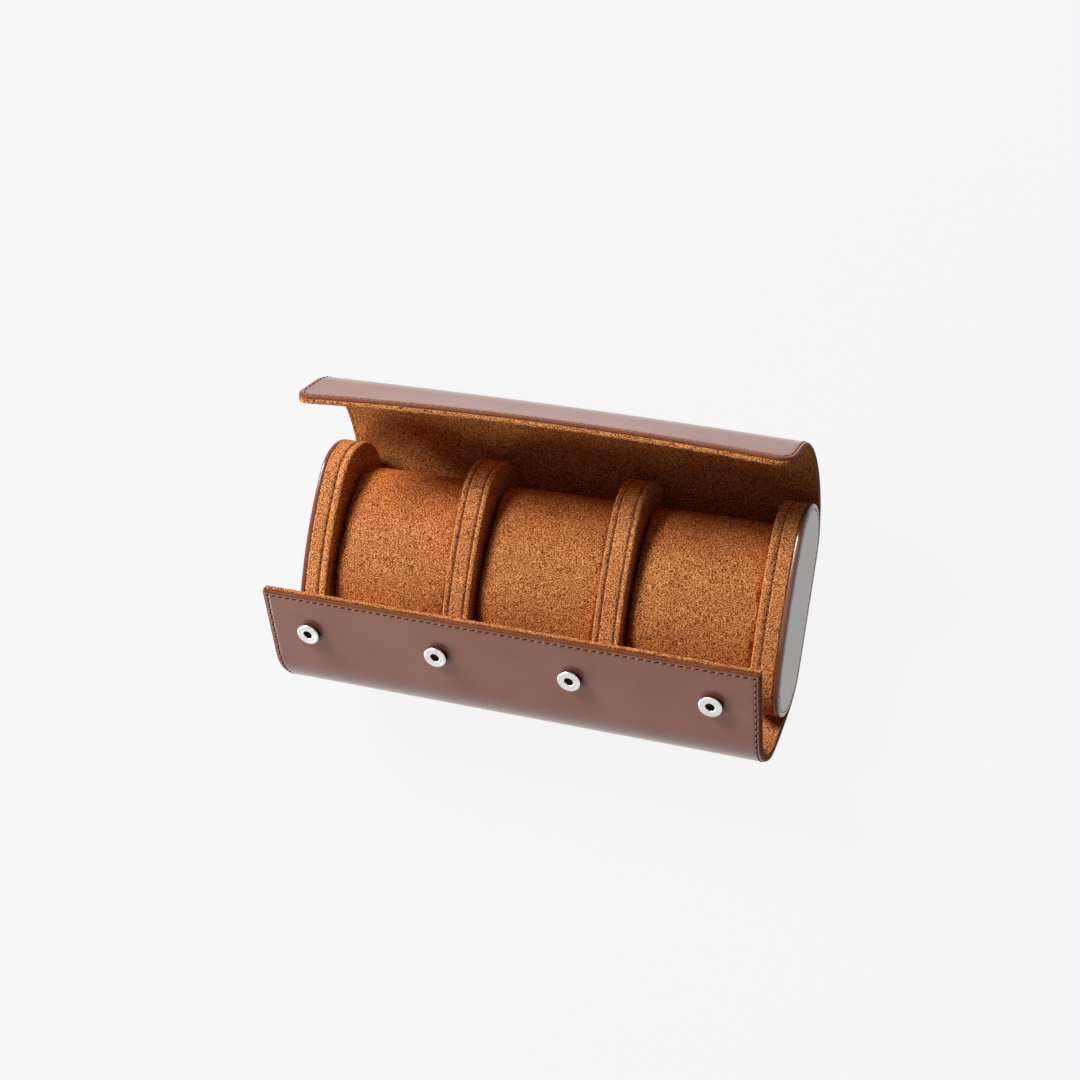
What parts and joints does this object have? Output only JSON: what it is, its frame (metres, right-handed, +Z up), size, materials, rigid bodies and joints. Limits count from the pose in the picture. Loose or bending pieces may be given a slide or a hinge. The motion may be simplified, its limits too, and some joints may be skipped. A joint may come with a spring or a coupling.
{
  "type": "watch roll",
  "caption": "Leather travel watch roll with a suede-lined wrap, snap-closed lid and front flap, and oval tray slots holding loose watch pillows.",
  "frame": {"origin": "on the floor, under the middle of the tray, at the wrap's flat back", "axes": "+X along the roll, +Y from the front flap towards the lid, +Z up out of the tray"},
  "size_m": [0.2008, 0.12, 0.076],
  "materials": {
    "wrap_leather": "smooth brown leather, low sheen",
    "suede": "caramel brown suede with a short nap",
    "stiffener_board": "plain grey-brown stiffener sheet",
    "foam": "off-white foam",
    "snap_metal": "nickel-plated snap fastener"
  },
  "bodies": {
    "case": {"wrap_back_leather": "wrap_leather", "rear_fold_leather": "wrap_leather", "front_fold_leather": "wrap_leather", "left_end_leather": "wrap_leather", "right_end_leather": "wrap_leather", "wrap_back_lining": "suede", "rear_fold_lining": "suede", "front_fold_lining": "suede", "wrap_back_board": "stiffener_board", "left_end_board": "stiffener_board", "right_end_board": "stiffener_board", "left_end_suede_rim": "suede", "left_end_suede_face": "suede", "left_divider_suede_rim": "suede", "left_divider_inner_face": "suede", "left_divider_outer_face": "suede", "left_end_pad": "foam", "left_divider_pad": "foam", "right_end_suede_rim": "suede", "right_end_suede_face": "suede", "right_divider_suede_rim": "suede", "right_divider_inner_face": "suede", "right_divider_outer_face": "suede", "right_end_pad": "foam", "right_divider_pad": "foam"},
    "lid": {"lid_leather": "wrap_leather", "lid_board": "stiffener_board", "lid_lining": "suede", "snap_studs": "snap_metal", "snap_stud_rivets": "snap_metal"},
    "front_flap": {"front_flap_leather": "wrap_leather", "front_flap_board": "stiffener_board", "front_flap_lining": "suede", "snap_sockets": "snap_metal", "snap_socket_rivets": "snap_metal"},
    "left_pillow": {"left_pillow_cover": "suede", "left_pillow_foam": "foam"},
    "centre_pillow": {"centre_pillow_cover": "suede", "centre_pillow_foam": "foam"},
    "right_pillow": {"right_pillow_cover": "suede", "right_pillow_foam": "foam"}
  },
  "joints": [
    {"name": "lid_fold", "type": "hinge", "parent": "case", "child": "lid", "pos_m": [0, 0.03503, 0.01209], "axis": [1, 0, 0], "range_deg": [-60, 67.5], "deforming": ["rear_fold_leather", "rear_fold_lining"]},
    {"name": "front_flap_fold", "type": "hinge", "parent": "case", "child": "front_flap", "pos_m": [0, -0.04729, 0.01469], "axis": [-1, 0, 0], "range_deg": [-60, 39.5], "deforming": ["front_fold_leather", "front_fold_lining"]},
    {"name": "left_pillow_lift", "type": "slide", "parent": "case", "child": "left_pillow", "axis": [0, 0.2419, 0.9703], "range_m": [0, 0.15]},
    {"name": "centre_pillow_lift", "type": "slide", "parent": "case", "child": "centre_pillow", "axis": [0, 0.2419, 0.9703], "range_m": [0, 0.15]},
    {"name": "right_pillow_lift", "type": "slide", "parent": "case", "child": "right_pillow", "axis": [0, 0.2419, 0.9703], "range_m": [0, 0.15]}
  ]
}
